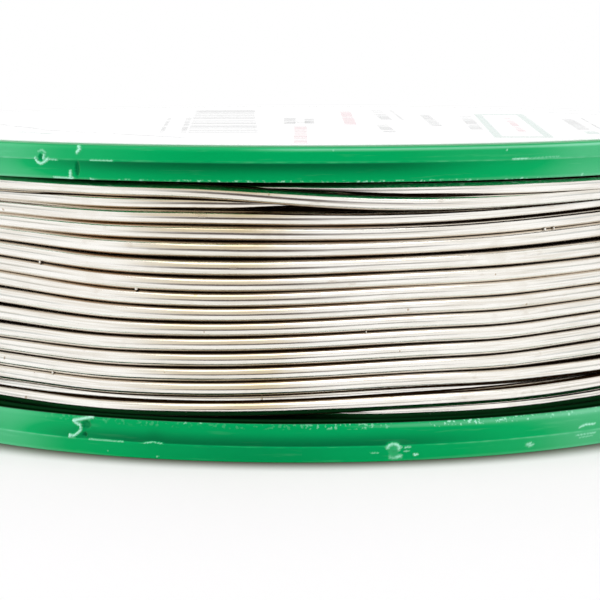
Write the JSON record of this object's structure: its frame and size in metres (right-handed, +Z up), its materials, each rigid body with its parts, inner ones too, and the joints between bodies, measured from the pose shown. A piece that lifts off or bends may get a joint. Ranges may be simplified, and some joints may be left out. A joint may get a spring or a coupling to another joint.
{
  "type": "solder wire spool",
  "caption": "Low round plastic spool lying flat, wound nearly to its rims with soft metal wire, with a paper label over the whole upper face.",
  "frame": {"origin": "middle of the base, on the surface that the spool lies on", "axes": "+Z up along the spool's axis, towards the labelled face; +X to the right and +Y away, seen from the pictured side"},
  "size_m": [0.05, 0.05, 0.0161],
  "materials": {
    "spool_plastic": "green, moulded, softly glossy",
    "label_paper": "white, matt",
    "solder_wire": "bright tin, softly reflecting",
    "flux": "amber rosin"
  },
  "bodies": {
    "root": {"spool": "spool_plastic", "face_label": "label_paper", "wire_inner_layers": "solder_wire", "wire_outer_turns": "solder_wire", "flux_core": "flux"}
  },
  "joints": []
}
